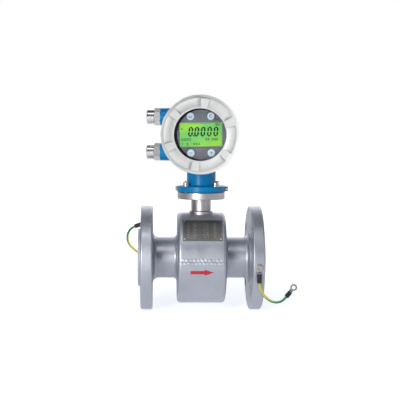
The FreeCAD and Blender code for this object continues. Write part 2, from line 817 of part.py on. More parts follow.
def make_terminal_block():
    back_wall = partition_depth + partition_thickness
    half_width = terminal_width / 2.0
    half_height = terminal_height / 2.0
    block = head_box(half_width, half_height, back_wall, back_wall + terminal_depth)
    step_depth = back_wall + terminal_depth * 0.6
    for side in (1, -1):
        low = min(side * half_height, side * half_height * 0.45)
        high = max(side * half_height, side * half_height * 0.45)
        ledge = box_between((-half_width - 1, step_depth, head_height + low),
                            (half_width + 1, back_wall + terminal_depth + 1, head_height + high))
        block = block.cut(ledge)
    for x in terminal_places():
        well = rod(terminal_screw_radius, terminal_depth / 2.0,
                   on_head(x, back_wall + terminal_depth / 2.0, 0), Y_AXIS)
        block = block.cut(well)
        slot = box_between((x - terminal_slot / 2.0, back_wall + 2, head_height - half_height - 1),
                           (x + terminal_slot / 2.0, step_depth - 2, head_height - half_height + 6))
        block = block.cut(slot)
    return turn_converter(block)


def make_terminal_screws():
    back_wall = partition_depth + partition_thickness
    seat = back_wall + terminal_depth / 2.0
    screws = []
    for x in terminal_places():
        head = rod(terminal_screw_radius, terminal_depth / 4.0, on_head(x, seat, 0), Y_AXIS)
        top = seat + terminal_depth / 4.0
        slit = box_between((x - terminal_screw_radius, top - 0.8, head_height - 0.4),
                           (x + terminal_screw_radius, top + 1, head_height + 0.4))
        screws.append(head.cut(slit))
    return turn_converter(Part.makeCompound(screws))


# ---- cable glands ----
def make_gland_body(side):
    dome_end = gland_hex_length + gland_dome_length
    seat_radius = seal_radius + seal_gap
    core = gland_turned([(-gland_thread_length, gland_bore_radius),
                         (-gland_thread_length, gland_thread_radius),
                         (0, gland_thread_radius), (0, gland_dome_radius),
                         (dome_end, gland_dome_radius), (dome_end, seat_radius),
                         (gland_seal_seat, seat_radius), (gland_seal_seat, gland_bore_radius)], side)
    start = gland_centre(side)
    hexagon = prism(gland_hex_flats, gland_hex_length, start, X_AXIS * -1, Z_AXIS)
    corner_radius = gland_hex_flats / math.sqrt(3.0)
    cut_radius = corner_radius - gland_hex_chamfer
    cut_end = gland_hex_length - gland_hex_chamfer
    hexagon = hexagon.common(gland_turned([(0, 0), (0, cut_radius), (gland_hex_chamfer, corner_radius),
                                           (cut_end, corner_radius), (gland_hex_length, cut_radius),
                                           (gland_hex_length, 0)], side))
    hexagon = hexagon.cut(rod(gland_bore_radius, gland_hex_length + 2, start + X_AXIS, X_AXIS * -1))
    return turn_converter(core.fuse(hexagon).removeSplitter())


def cap_start():
    return gland_hex_length + gland_cap_gap


def make_gland_cap(side):
    end = cap_start() + gland_cap_length
    inner_radius = gland_dome_radius + thread_clearance
    roof = end - gland_cap_wall
    cap = gland_turned([(cap_start(), inner_radius), (cap_start(), gland_cap_radius, 0.5),
                        (end, gland_cap_radius, gland_cap_round), (end, gland_bore_radius, 0.6),
                        (roof, gland_bore_radius), (roof, inner_radius)], side)
    return turn_converter(cap)


def make_gland_seal(side):
    start = gland_seal_seat + seal_gap
    end = cap_start() + gland_cap_length - gland_cap_wall - seal_gap
    seal = gland_turned([(start, seal_bore_radius), (start, seal_radius, 0.5),
                         (end, seal_radius, 1.5), (end, seal_bore_radius)], side)
    return turn_converter(seal)


# ---- nameplate ----
def make_nameplate():
    outline = [(nameplate_left, housing_radius), (nameplate_left, housing_radius + nameplate_thickness),
               (nameplate_right, housing_radius + nameplate_thickness), (nameplate_right, housing_radius)]
    span = nameplate_high_angle - nameplate_low_angle
    plate = turned(outline, lambda x, radius: FreeCAD.Vector(x, -radius, 0), ORIGIN, X_AXIS * -1, span)
    plate.rotate(ORIGIN, X_AXIS * -1, nameplate_low_angle)
    return plate.cut(make_nameplate_rivets())


def make_nameplate_rivets():
    inset_angle = math.degrees(rivet_inset / housing_radius)
    rivets = []
    for x in (nameplate_left + rivet_inset, nameplate_right - rivet_inset):
        for angle in (nameplate_low_angle + inset_angle, nameplate_high_angle - inset_angle):
            outward = rim_normal(angle, -1)
            start = X_AXIS * x + outward * housing_radius
            height = nameplate_thickness + rivet_height
            rivets.append(rod(rivet_radius, height, start, outward))
    return Part.makeCompound(rivets)


# ---- bonding leads ----
def frame_point(base, along, normal, distance, height):
    return base + along * distance + normal * height


def make_lug(base, along, normal, sleeve_length):
    """A ring terminal lying on base, its barrel pointing along."""
    across = normal.cross(along)
    ring = rod(lug_radius, lug_thickness, base, normal)
    tongue_half = lug_radius * 0.55
    crimp_height = lug_barrel_height - lug_barrel_radius / 2.0
    corners = [(0, 0), (lug_barrel_start - 1.0, 0), (sleeve_start, crimp_height),
               (sleeve_start, crimp_height + lug_thickness), (lug_barrel_start - 1.5, lug_thickness),
               (0, lug_thickness)]
    points = [frame_point(base, along, normal, a, h) - across * tongue_half for a, h in corners]
    points.append(points[0])
    tongue = Part.Face(Part.makePolygon(points)).extrude(across * (2 * tongue_half))
    barrel_base = frame_point(base, along, normal, sleeve_start - 0.5, lug_barrel_height)
    barrel = rod(lug_barrel_radius, sleeve_length - lug_cover + 0.5, barrel_base, along)
    hole = rod(lug_hole_radius, 2 * lug_thickness + 2, base - normal, normal)
    return ring.fuse([tongue, barrel]).cut(hole).removeSplitter()


def make_sleeve(base, along, normal, length):
    start = frame_point(base, along, normal, sleeve_start, lug_barrel_height)
    outer = rod(sleeve_radius, length, start, along)
    return outer.cut(rod(lug_barrel_radius, length - lug_cover, start, along))


def make_lead(points):
    """A tube on straight runs joined by tangent arcs."""
    edges = []
    start = points[0]
    for index in range(1, len(points) - 1):
        corner = points[index]
        run_in = corner.distanceToPoint(points[index - 1])
        run_out = corner.distanceToPoint(points[index + 1])
        back = (points[index - 1] - corner).normalize()
        ahead = (points[index + 1] - corner).normalize()
        turn = math.pi - back.getAngle(ahead)
        reach = 0.45 * min(run_in, run_out)
        radius = reach / math.tan(turn / 2.0)
        middle_line = (back + ahead).normalize()
        middle_reach = radius / math.cos(turn / 2.0) - radius
        edges.append(Part.makeLine(start, corner + back * reach))
        edges.append(Part.Arc(corner + back * reach, corner + middle_line * middle_reach,
                              corner + ahead * reach).toShape())
        start = corner + ahead * reach
        print("lead arc radius", round(radius, 1))
    edges.append(Part.makeLine(start, points[-1]))
    path = Part.Wire(edges)
    section = Part.Wire(Part.makeCircle(lead_diameter / 2.0, points[0], points[1] - points[0]))
    lead = path.makePipeShell([section], True, False)
    area = math.pi * lead_diameter ** 2 / 4.0
    print("lead length", round(path.Length, 1), "volume ratio", round(lead.Volume / (area * path.Length), 4))
    return lead


def bond_screw_and_washer(base, normal):
    """The screw through a ring terminal on a flange's rim, with its washer."""
    washer_seat = base + normal * lug_thickness
    washer = rod(bond_washer_radius, bond_washer_thickness, washer_seat, normal)
    washer = washer.cut(rod(bond_screw_size / 2.0, bond_washer_thickness, washer_seat, normal))
    head_seat = washer_seat + normal * bond_washer_thickness
    length = bond_screw_depth - 1.0 + lug_thickness + bond_washer_thickness
    socket = bond_screw_size * cap_socket_share
    screw = cap_screw(head_seat, normal, X_AXIS, bond_screw_size, length,
                      bond_head_radius, bond_head_height, socket)
    return screw, washer


def save(node, shape):
    shape.exportStep("parts/" + node + ".step")


def main():
    os.makedirs("parts", exist_ok=True)
    outlet_normal = rim_normal(outlet_bond_angle, -1)
    inlet_normal = rim_normal(inlet_bond_angle, 1)
    save("flow_tube", make_flow_tube())
    save("liner", make_liner())
    save("outlet_liner_flare", make_outlet_liner_flare())
    save("inlet_liner_flare", mirrored(make_outlet_liner_flare()))
    save("outlet_flange", make_outlet_flange(outlet_normal))
    save("inlet_flange", mirrored(make_outlet_flange(inlet_normal)))
    flange_weld = make_outlet_flange_weld()
    save("flange_welds", Part.makeCompound([flange_weld, mirrored(flange_weld)]))
    save("coil_housing", make_coil_housing())
    save("neck_tube", make_neck_tube())
    save("neck_flange", make_neck_flange())
    save("neck_gasket", make_neck_gasket())
    save("pole_shoes", Part.makeCompound([make_pole_shoe(angle) for angle in (0, 180)]))
    save("coils", Part.makeCompound([make_coil(angle) for angle in (0, 180)]))
    save("magnetic_yoke", make_yoke())
    save("electrodes", Part.makeCompound([make_electrode(side) for side in (-1, 1)]))
    save("electrode_insulators", Part.makeCompound([make_electrode_insulator(side) for side in (-1, 1)]))
    save("electrode_nuts", Part.makeCompound([make_electrode_nut(side) for side in (-1, 1)]))

    save("converter_housing", make_converter_housing())
    save("neck_screws", make_neck_screws())
    save("neck_washers", make_neck_washers())
    save("earth_screw", make_side_screw(1, earth_head_radius, earth_head_height, earth_socket))
    save("lock_screw", make_side_screw(-1, lock_head_radius, lock_head_height, lock_socket))
    save("front_cover", make_front_cover())
    save("window_glass", make_window_glass())
    save("window_retainer", make_window_retainer())
    save("rear_cover", make_rear_cover())
    save("front_o_ring", make_o_ring(-1))
    save("rear_o_ring", make_o_ring(1))

    save("display_plate", make_display_plate())
    save("lcd_module", make_lcd_module())
    for name, (x, z) in key_places().items():
        save(name, make_key(x, z))
    save("display_board", make_display_board())
    save("display_standoffs", make_standoffs())
    save("electronics_module", make_electronics_module())
    save("signal_cable", make_signal_cable())
    save("terminal_block", make_terminal_block())
    save("terminal_screws", make_terminal_screws())

    for name, side in (("upper", 1), ("lower", -1)):
        save(name + "_gland_body", make_gland_body(side))
        save(name + "_gland_cap", make_gland_cap(side))
        save(name + "_gland_seal", make_gland_seal(side))

    save("nameplate", make_nameplate())
    save("nameplate_rivets", make_nameplate_rivets())

    slant = math.radians(inlet_lug_slant)
    inlet_down = FreeCAD.Vector(0, inlet_normal.z, -inlet_normal.y)
    bonds = {
        "outlet": (X_AXIS * bond_place_x + outlet_normal * flange_radius, outlet_normal,
                   FreeCAD.Vector(0, -outlet_normal.z, outlet_normal.y), outlet_lead_points,
                   outlet_lead_end, outlet_lead_end_direction),
        "inlet": (X_AXIS * -bond_place_x + inlet_normal * flange_radius, inlet_normal,
                  X_AXIS * -math.cos(slant) + inlet_down * math.sin(slant), inlet_lead_points,
                  inlet_lead_end, inlet_lead_end_direction),
    }
    screws = []
    washers = []
    for name, (base, normal, along, free_points, end, end_direction) in bonds.items():
        screw, washer = bond_screw_and_washer(base, normal)
        screws.append(screw)
        washers.append(washer)
        save(name + "_inner_lug", make_lug(base, along, normal, inner_sleeve_length))
        save(name + "_inner_sleeve", make_sleeve(base, along, normal, inner_sleeve_length))
        inner_exit = frame_point(base, along, normal, sleeve_start + inner_sleeve_length, lug_barrel_height)
        end_point = FreeCAD.Vector(*end)
        outward = FreeCAD.Vector(*end_direction).normalize()
        points = [inner_exit] + [FreeCAD.Vector(*point) for point in free_points] + [end_point]
        print(name, "lead starts at", [round(value, 2) for value in inner_exit])
        save(name + "_lead", make_lead(points))
        lug_normal = Y_AXIS.cross(outward).cross(outward).normalize()
        ring_base = (end_point + outward * (outer_sleeve_length + sleeve_start)
                     - lug_normal * lug_barrel_height)
        save(name + "_outer_lug", make_lug(ring_base, outward * -1, lug_normal, outer_sleeve_length))
        save(name + "_outer_sleeve", make_sleeve(ring_base, outward * -1, lug_normal, outer_sleeve_length))
    save("bond_screws", Part.makeCompound(screws))
    save("bond_washers", Part.makeCompound(washers))


main()
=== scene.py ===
"""Looks of the electromagnetic flow meter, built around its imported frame.  Lengths are in metres."""

import json
import math

import bmesh
import bpy
from mathutils import Matrix, Vector


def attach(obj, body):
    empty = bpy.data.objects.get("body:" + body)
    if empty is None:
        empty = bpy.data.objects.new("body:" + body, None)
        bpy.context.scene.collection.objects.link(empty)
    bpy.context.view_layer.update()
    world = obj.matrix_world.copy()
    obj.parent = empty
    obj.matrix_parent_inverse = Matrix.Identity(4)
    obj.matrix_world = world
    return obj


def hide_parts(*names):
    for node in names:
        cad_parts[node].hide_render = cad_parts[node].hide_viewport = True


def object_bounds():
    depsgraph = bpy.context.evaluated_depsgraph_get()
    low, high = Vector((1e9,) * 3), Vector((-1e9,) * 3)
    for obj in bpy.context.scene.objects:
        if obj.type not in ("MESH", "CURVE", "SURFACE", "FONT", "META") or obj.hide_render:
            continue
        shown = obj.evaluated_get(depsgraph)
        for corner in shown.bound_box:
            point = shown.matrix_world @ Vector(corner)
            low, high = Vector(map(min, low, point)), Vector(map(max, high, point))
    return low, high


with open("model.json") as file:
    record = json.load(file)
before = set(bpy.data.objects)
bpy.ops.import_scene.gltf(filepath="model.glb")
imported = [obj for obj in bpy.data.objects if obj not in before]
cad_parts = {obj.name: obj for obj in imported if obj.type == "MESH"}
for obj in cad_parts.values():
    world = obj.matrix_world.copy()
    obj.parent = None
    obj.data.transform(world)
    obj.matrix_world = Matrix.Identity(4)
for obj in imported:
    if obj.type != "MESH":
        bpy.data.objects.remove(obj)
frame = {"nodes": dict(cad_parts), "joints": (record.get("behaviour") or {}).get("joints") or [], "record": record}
cad_low, cad_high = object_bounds()
bpy.context.scene.view_settings.view_transform = "Standard"

MM = 0.001
NODES = frame["nodes"]
JOINTS = {joint["name"]: joint for joint in frame["joints"]}
Y_AXIS = Vector((0, 1, 0))
Z_AXIS = Vector((0, 0, 1))

HEAD_CENTRE = Vector(JOINTS["front_cover_spin"]["pos_m"])
HEAD_BACK = Vector(JOINTS["front_cover_spin"]["axis"]).normalized() * -1
HEAD_RIGHT = HEAD_BACK.cross(Z_AXIS)

CAMERA_PLACE = Vector((-0.0705, -1.65, 0.221))
CAMERA_YAW = math.radians(2.38)
CAMERA_PITCH = math.radians(4.08)
CAMERA_ROLL = math.radians(0.45)
CAMERA_LENS = 83.2
FLOOR_HALF_SIZE = 6.0
FLOOR_GAP = 0.5 * MM

HOUSING_RADIUS = 81.0 * MM
HOUSING_HALF_LENGTH = 42.5 * MM
NAMEPLATE_RADIUS = 81.8 * MM
SPIGOT_DEPTH = 44.1 * MM
SPIGOT_THREAD_RADIUS = 60.0 * MM
GLAND_THREAD_RADIUS = 11.4 * MM
LEAD_DIAMETER = 4.3 * MM
LEAD_SIDES = 32
GREEN_SHARE = 0.36
DISPLAY_OFFSET = 0.9 * MM
DISPLAY_ROLL = math.radians(1.2)
PLATE_DEPTH = -66.0 * MM
LCD_DEPTH = -65.5 * MM
KEY_DEPTH = -66.8 * MM
PRINT_THICKNESS = 0.05 * MM
SEAM_WIDTH = 11.5 * MM
SEAM_PITCH = 6.6 * MM
SEAM_SINK = 0.05 * MM
SEAM_MIDDLE = 2.0 * MM


# ---------------------------------------------------------------- camera, lights and stage
def aim(obj, place, forward, roll=0.0):
    """Put a camera or lamp at place, looking along forward, its right side raised by roll."""
    right = forward.cross(Z_AXIS).normalized()
    up = right.cross(forward).normalized()
    rolled_right = right * math.cos(roll) + up * math.sin(roll)
    rolled_up = up * math.cos(roll) - right * math.sin(roll)
    turn = Matrix((rolled_right, rolled_up, forward * -1)).transposed()
    obj.matrix_world = Matrix.Translation(place) @ turn.to_4x4()


def make_camera():
    data = bpy.data.cameras.new("camera")
    data.sensor_width = 36.0
    data.lens = CAMERA_LENS
    camera = bpy.data.objects.new("camera", data)
    bpy.context.scene.collection.objects.link(camera)
    level = math.cos(CAMERA_PITCH)
    forward = Vector((math.sin(CAMERA_YAW) * level, math.cos(CAMERA_YAW) * level, -math.sin(CAMERA_PITCH)))
    aim(camera, CAMERA_PLACE, forward, CAMERA_ROLL)
    bpy.context.scene.camera = camera


def make_lamp(name, place, target, size, power):
    """A soft box at place, turned to target."""
    data = bpy.data.lights.new(name, "AREA")
    data.shape = "RECTANGLE"
    data.size = size[0]
    data.size_y = size[1]
    data.energy = power
    lamp = bpy.data.objects.new(name, data)
    bpy.context.scene.collection.objects.link(lamp)
    aim(lamp, Vector(place), (Vector(target) - Vector(place)).normalized())
    return lamp


def link_lamp(lamp, name, nodes, state):
    """Let a lamp light some nodes and nothing else (INCLUDE), or everything but them (EXCLUDE)."""
    group = bpy.data.collections.new(name)
    for node in nodes:
        group.objects.link(NODES[node])
    for link in group.collection_objects:
        link.light_linking.link_state = state
    lamp.light_linking.receiver_collection = group


def add_ramp(tree, value, stops):
    """Colours at positions along value."""
    ramp = tree.nodes.new("ShaderNodeValToRGB")
    elements = ramp.color_ramp.elements
    while len(elements) < len(stops):
        elements.new(1.0)
    for element, (position, colour) in zip(elements, stops):
        element.position = position
        element.color = (*colour, 1.0)
    tree.links.new(value, ramp.inputs["Fac"])
    return ramp.outputs["Color"]


def combine(tree, operation, first, second):
    """A sum, product and so on of two values; each is a number or a socket."""
    node = tree.nodes.new("ShaderNodeMath")
    node.operation = operation
    for socket, value in zip(node.inputs, (first, second)):
        if isinstance(value, (int, float)):
            socket.default_value = value
        else:
            tree.links.new(value, socket)
    return node.outputs[0]


def span(tree, value, from_low, from_high, low=0.0, high=1.0):
    """value moved from one span to another, and kept inside it."""
    node = tree.nodes.new("ShaderNodeMapRange")
    node.inputs["From Min"].default_value = from_low
    node.inputs["From Max"].default_value = from_high
    node.inputs["To Min"].default_value = low
    node.inputs["To Max"].default_value = high
    tree.links.new(value, node.inputs["Value"])
    return node.outputs["Result"]


def sees_backdrop(tree, seen, mirrored):
    """How white the backdrop is to each ray: seen by the camera or through glass, mirrored in metal."""
    path = tree.nodes.new("ShaderNodeLightPath")
    plain = combine(tree, "MAXIMUM", path.outputs["Is Camera Ray"], path.outputs["Is Transmission Ray"])
    plain = combine(tree, "MULTIPLY", plain, seen)
    glossy = combine(tree, "MULTIPLY", path.outputs["Is Glossy Ray"], mirrored)
    return combine(tree, "MAXIMUM", plain, glossy)


def make_world():
    """A white backdrop behind; the room that lights the meter is dim above, in front and at the left."""
    world = bpy.data.worlds.new("studio")
    bpy.context.scene.world = world
    world.use_nodes = True
    tree = world.node_tree
    tree.nodes.clear()
    place = tree.nodes.new("ShaderNodeTexCoord")
    split = tree.nodes.new("ShaderNodeSeparateXYZ")
    tree.links.new(place.outputs["Generated"], split.inputs[0])
    height = add_ramp(tree, split.outputs["Z"], [
        (0.0, (0.80, 0.82, 0.86)), (0.18, (0.72, 0.74, 0.79)),
        (0.45, (0.20, 0.21, 0.24)), (1.0, (0.07, 0.075, 0.09))])
    depth = span(tree, split.outputs["Y"], -1.0, -0.35, 0.12, 1.0)
    across = span(tree, split.outputs["X"], -1.0, 1.0)
    sides = add_ramp(tree, across, [
        (0.0, (0.10,) * 3), (0.13, (0.12,) * 3), (0.27, (0.75,) * 3),
        (0.5, (0.80,) * 3), (0.80, (0.9,) * 3), (1.0, (1.25,) * 3)])
    both = tree.nodes.new("ShaderNodeVectorMath")
    both.operation = "MULTIPLY"
    tree.links.new(height, both.inputs[0])
    tree.links.new(sides, both.inputs[1])
    room = tree.nodes.new("ShaderNodeBackground")
    tree.links.new(both.outputs["Vector"], room.inputs["Color"])
    tree.links.new(depth, room.inputs["Strength"])
    white = tree.nodes.new("ShaderNodeBackground")
    white.inputs["Color"].default_value = (1, 1, 1, 1)
    white.inputs["Strength"].default_value = 1.0
    behind = span(tree, split.outputs["Y"], 0.35, 0.75)
    choose = tree.nodes.new("ShaderNodeMixShader")
    out = tree.nodes.new("ShaderNodeOutputWorld")
    tree.links.new(sees_backdrop(tree, 1.0, behind), choose.inputs["Fac"])
    tree.links.new(room.outputs[0], choose.inputs[1])
    tree.links.new(white.outputs[0], choose.inputs[2])
    tree.links.new(choose.outputs[0], out.inputs["Surface"])


def make_floor():
    """A white floor under the flanges, with the meter's faint shadow."""
    mesh = bpy.data.meshes.new("floor")
    height = cad_low.z - FLOOR_GAP
    square = ((-1, -1), (1, -1), (1, 1), (-1, 1))
    corners = [(x * FLOOR_HALF_SIZE, y * FLOOR_HALF_SIZE, height) for x, y in square]
    mesh.from_pydata(corners, [], [(0, 1, 2, 3)])
    floor = bpy.data.objects.new("floor", mesh)
    bpy.context.scene.collection.objects.link(floor)
    material = bpy.data.materials.new("floor")
    material.use_nodes = True
    tree = material.node_tree
    tree.nodes.clear()
    out = tree.nodes.new("ShaderNodeOutputMaterial")
    cloth = tree.nodes.new("ShaderNodeBsdfDiffuse")
    cloth.inputs["Color"].default_value = (0.80, 0.80, 0.82, 1)
    glow = tree.nodes.new("ShaderNodeEmission")
    glow.inputs["Color"].default_value = (0.95, 0.97, 1.0, 1)
    place = tree.nodes.new("ShaderNodeTexCoord")
    distance = tree.nodes.new("ShaderNodeVectorMath")
    distance.operation = "LENGTH"
    tree.links.new(place.outputs["Object"], distance.inputs[0])
    seen = span(tree, distance.outputs["Value"], 0.1, 0.6, 0.72, 1.0)
    strength = combine(tree, "MAXIMUM", sees_backdrop(tree, seen, 0.50), 0.26)
    tree.links.new(strength, glow.inputs["Strength"])
    lit_cloth = tree.nodes.new("ShaderNodeAddShader")
    tree.links.new(cloth.outputs[0], lit_cloth.inputs[0])
    tree.links.new(glow.outputs[0], lit_cloth.inputs[1])
    tree.links.new(lit_cloth.outputs[0], out.inputs["Surface"])
    mesh.materials.append(material)


def make_lamps():
    """The body is lit from the front left, the two covers from the low right."""
    covers = ["front_cover", "rear_cover"]
    glands = ["upper_gland_body", "upper_gland_cap", "lower_gland_body", "lower_gland_cap"]
    head = tuple(HEAD_CENTRE)
    key = make_lamp("left_softbox", (-0.85, -1.85, 0.35), (0, 0, 0.03), (0.55, 0.9), 24)
    link_lamp(key, "not_lit_by_key", covers + glands, "EXCLUDE")
    top = make_lamp("top_softbox", (-0.2, -1.1, 1.6), (0, 0, 0), (0.9, 0.5), 5)
    link_lamp(top, "not_lit_from_top", covers, "EXCLUDE")
    shine = make_lamp("gland_softbox", (-0.35, -1.9, 0.42), head, (0.9, 0.22), 1.0)
    link_lamp(shine, "glands_from_front", glands, "INCLUDE")
    low = make_lamp("right_softbox", (0.85, -0.55, -0.02), head, (0.35, 0.12), 8.5)
    link_lamp(low, "covers_from_right", covers, "INCLUDE")
    fill = make_lamp("front_softbox", (0.1, -1.9, 0.5), head, (1.2, 1.2), 8)
    link_lamp(fill, "covers_from_front", covers, "INCLUDE")
    rim = make_lamp("left_rim_softbox", (-1.4, -0.12, 0.7), head, (0.6, 0.6), 15)
    link_lamp(rim, "covers_from_left", covers, "INCLUDE")
    make_lamp("back_softbox", (0.3, 1.9, 0.9), (0, 0, 0.08), (1.6, 1.2), 5)


make_camera()
make_world()
make_floor()
make_lamps()


# ---------------------------------------------------------------- materials
class Finish:
    """A material with one Principled shader, and short calls for the nodes that feed it."""

    def __init__(self, name, colour, roughness, metallic=0.0, coat=0.0, specular=0.5):
        self.material = bpy.data.materials.new(name)
        self.material.use_nodes = True
        self.material.diffuse_color = (*colour, 1.0)
        self.tree = self.material.node_tree
        self.surface = self.tree.nodes["Principled BSDF"]
        self.colour = colour
        self.set("Base Color", (*colour, 1.0))
        self.set("Roughness", roughness)
        self.set("Metallic", metallic)
        self.set("Coat Weight", coat)
        self.set("Coat Roughness", 0.08)
        self.set("Specular IOR Level", specular)

    def set(self, socket, value):
        self.surface.inputs[socket].default_value = value

    def link(self, source, target):
        self.tree.links.new(source, target)

    def place(self):
        """The point on the surface, in the frame's metres."""
        return self.tree.nodes.new("ShaderNodeTexCoord").outputs["Object"]

    def stretched(self, scale):
        """The point with each axis stretched: a noise of scale 1 then has that many grains a metre."""
        node = self.tree.nodes.new("ShaderNodeMapping")
        node.inputs["Scale"].default_value = scale
        self.link(self.place(), node.inputs["Vector"])
        return node.outputs["Vector"]

    def noise(self, scale, detail=2.0, vector=None):
        node = self.tree.nodes.new("ShaderNodeTexNoise")
        node.inputs["Scale"].default_value = scale
        node.inputs["Detail"].default_value = detail
        self.link(vector or self.place(), node.inputs["Vector"])
        return node.outputs["Fac"]

    def along(self, direction, origin=Vector((0, 0, 0))):
        """How far the point lies along a direction from origin."""
        shift = self.tree.nodes.new("ShaderNodeVectorMath")
        shift.operation = "SUBTRACT"
        self.link(self.place(), shift.inputs[0])
        shift.inputs[1].default_value = origin
        dot = self.tree.nodes.new("ShaderNodeVectorMath")
        dot.operation = "DOT_PRODUCT"
        self.link(shift.outputs["Vector"], dot.inputs[0])
        dot.inputs[1].default_value = direction
        return dot.outputs["Value"]

    def fit(self, noise, low, high):
        """A noise stretched from its usual span to low..high."""
        return span(self.tree, noise, 0.3, 0.7, low, high)

    def tint(self, value, *stops):
        self.link(add_ramp(self.tree, value, stops), self.surface.inputs["Base Color"])

    def shade_corners(self, distance, depth, reach):
        """Painted shade: darken the colour where other surfaces lie close, in corners and recesses."""
        source = self.surface.inputs["Base Color"].links[0].from_socket
        corner = self.tree.nodes.new("ShaderNodeAmbientOcclusion")
        corner.samples = 8
        corner.inputs["Distance"].default_value = distance
        tone = add_ramp(self.tree, corner.outputs["AO"], [(0.0, (depth,) * 3), (reach, (1.0,) * 3)])
        darker = self.tree.nodes.new("ShaderNodeVectorMath")
        darker.operation = "MULTIPLY"
        self.link(source, darker.inputs[0])
        self.link(tone, darker.inputs[1])
        self.link(darker.outputs["Vector"], self.surface.inputs["Base Color"])

    def vary_tone(self, value, spread):
        dark = tuple(part * (1.0 - spread) for part in self.colour)
        light = tuple(min(1.0, part * (1.0 + spread)) for part in self.colour)
        self.tint(value, (0.3, dark), (0.7, light))

    def vary_roughness(self, value, low, high):
        self.link(self.fit(value, low, high), self.surface.inputs["Roughness"])

    def bump(self, height, strength, distance):
        node = self.tree.nodes.new("ShaderNodeBump")
        node.inputs["Strength"].default_value = strength
        node.inputs["Distance"].default_value = distance
        self.link(height, node.inputs["Height"])
        self.link(node.outputs["Normal"], self.surface.inputs["Normal"])


def enamel(name, colour, roughness, coat, metallic=0.0, specular=0.5, peel=0.3, spread=0.04,
           corner=0.25, reach=0.75):
    """Sprayed paint: fine orange peel, slight unevenness of tone and gloss, and painted shade darkening its
    corners.
    """
    finish = Finish(name, colour, roughness, metallic=metallic, coat=coat, specular=specular)
    finish.vary_tone(finish.noise(22.0, 4.0), spread)
    finish.vary_roughness(finish.noise(70.0, 3.0), roughness - 0.05, roughness + 0.06)
    finish.bump(finish.noise(450.0, 2.0), peel, 0.0002)
    # painted shade: within 5 mm of other surfaces the colour falls towards the corner tone
    finish.shade_corners(5.0 * MM, corner, reach)
    return finish


def turned_metal(name, colour, roughness, grain, spread=0.08, strength=0.12, patches=0.07):
    """Machined metal with long fine lines; grain is how dense they are along each axis, per metre."""
    finish = Finish(name, colour, roughness, metallic=1.0)
    lines = finish.noise(1.0, 3.0, finish.stretched(grain))
    finish.vary_tone(lines, spread)
    finish.vary_roughness(finish.noise(45.0, 3.0), roughness - patches, roughness + patches)
    finish.bump(lines, strength, 0.0001)
    return finish


def moulded(name, colour, roughness, grain=900.0, strength=0.25, spread=0.06, specular=0.5):
    """Plastic or rubber with a fine moulded grain."""
    finish = Finish(name, colour, roughness, specular=specular)
    finish.vary_tone(finish.noise(60.0, 3.0), spread)
    finish.vary_roughness(finish.noise(150.0, 2.0), roughness - 0.05, roughness + 0.06)
    finish.bump(finish.noise(grain, 2.0), strength, 0.0001)
    return finish


def clear_glass():
    finish = Finish("window_glass", (0.96, 0.99, 0.98), 0.0)
    finish.set("Transmission Weight", 1.0)
    finish.set("IOR", 1.2)
    finish.vary_roughness(finish.noise(35.0, 4.0), 0.0, 0.02)
    finish.bump(finish.noise(60.0, 1.0), 0.02, 0.0001)
    return finish


def lit_display():
    """The back-lit panel: yellow-green near two corners, fine rows of dots."""
    finish = Finish("display_lens", (0.11, 0.40, 0.03), 0.35)
    corner = finish.along(HEAD_RIGHT * -8.0 + Z_AXIS * 14.0, HEAD_CENTRE)
    patch = finish.noise(24.0, 2.0)
    blend = combine(finish.tree, "ADD", corner, patch)
    green = (0.085, 0.35, 0.050)
    lime = (0.17, 0.42, 0.008)
    stops = ((0.18, lime), (0.42, green), (0.62, green), (0.86, lime))
    finish.tint(blend, *stops)
    glow = add_ramp(finish.tree, blend, stops)
    finish.link(glow, finish.surface.inputs["Emission Color"])
    finish.set("Emission Strength", 0.36)
    rows = finish.tree.nodes.new("ShaderNodeTexWave")
    rows.bands_direction = "Z"
    rows.inputs["Scale"].default_value = 320.0
    finish.link(finish.place(), rows.inputs["Vector"])
    finish.bump(rows.outputs["Fac"], 0.04, 0.0001)
    return finish


def housing_paint():
    """Blue enamel, with the two threaded spigots left as bare cast aluminium."""
    finish = enamel("blue_enamel", (0.0, 0.215, 0.50), 0.30, 0.0, specular=0.22, peel=0.2)
    metal = finish.tree.nodes.new("ShaderNodeBsdfPrincipled")
    metal.inputs["Base Color"].default_value = (0.55, 0.56, 0.57, 1)
    metal.inputs["Metallic"].default_value = 1.0
    grain = finish.fit(finish.noise(300.0, 2.0), 0.28, 0.42)
    finish.link(grain, metal.inputs["Roughness"])
    depth = combine(finish.tree, "ABSOLUTE", finish.along(HEAD_BACK, HEAD_CENTRE), 0.0)
    on_spigot = combine(finish.tree, "GREATER_THAN", depth, SPIGOT_DEPTH)
    mix = finish.tree.nodes.new("ShaderNodeMixShader")
    finish.link(on_spigot, mix.inputs["Fac"])
    finish.link(finish.surface.outputs[0], mix.inputs[1])
    finish.link(metal.outputs[0], mix.inputs[2])
    finish.link(mix.outputs[0], finish.tree.nodes["Material Output"].inputs["Surface"])
    return finish


